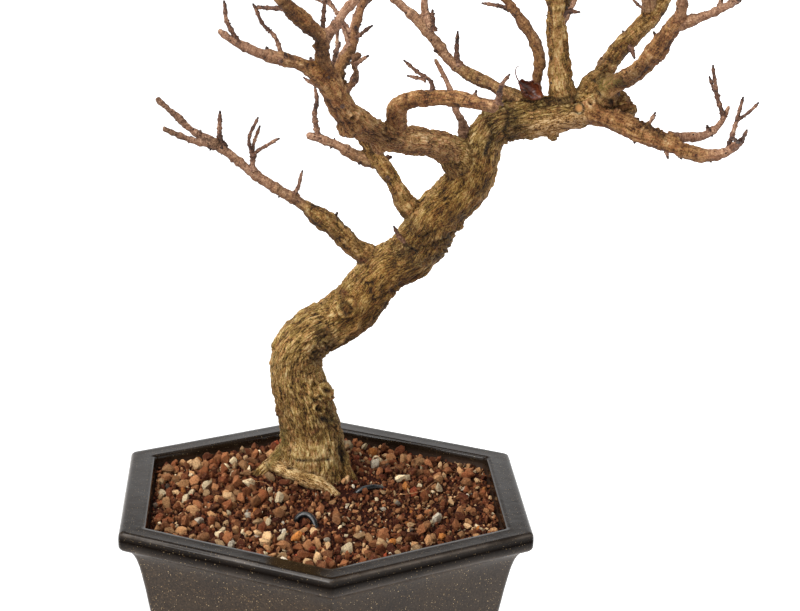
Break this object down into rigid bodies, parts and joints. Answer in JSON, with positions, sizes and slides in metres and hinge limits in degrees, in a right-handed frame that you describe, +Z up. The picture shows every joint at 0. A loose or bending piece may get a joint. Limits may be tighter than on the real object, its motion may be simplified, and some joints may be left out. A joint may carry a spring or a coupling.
{
  "type": "bonsai tree in a hexagonal pot",
  "caption": "Leafless deciduous bonsai with a zigzag trunk leaning to one side, growing in grit in a dark flared hexagonal stoneware pot.",
  "frame": {"origin": "on the surface that the pot stands on, under the middle of the whole object's bounding box", "axes": "+Z up, along the object's height; a corner of the hexagonal pot points along -Y, which is the front; the trunk leans towards +X"},
  "size_m": [0.2994, 0.229, 0.3991],
  "materials": {
    "pot": "semi-gloss speckled brown-black glaze",
    "drain_screen": "moulded mesh",
    "soil": "loose red-brown and tan grit",
    "tree": "living bark, olive-tan with dark furrows",
    "tie_wire": "dark coated wire",
    "dry_leaf": "dry glossy dark red-brown leaf"
  },
  "bodies": {
    "root": {"pot": "pot", "drain_screen": "drain_screen", "soil": "soil", "tree": "tree", "tie_wire": "tie_wire", "dry_leaf": "dry_leaf"}
  },
  "joints": []
}
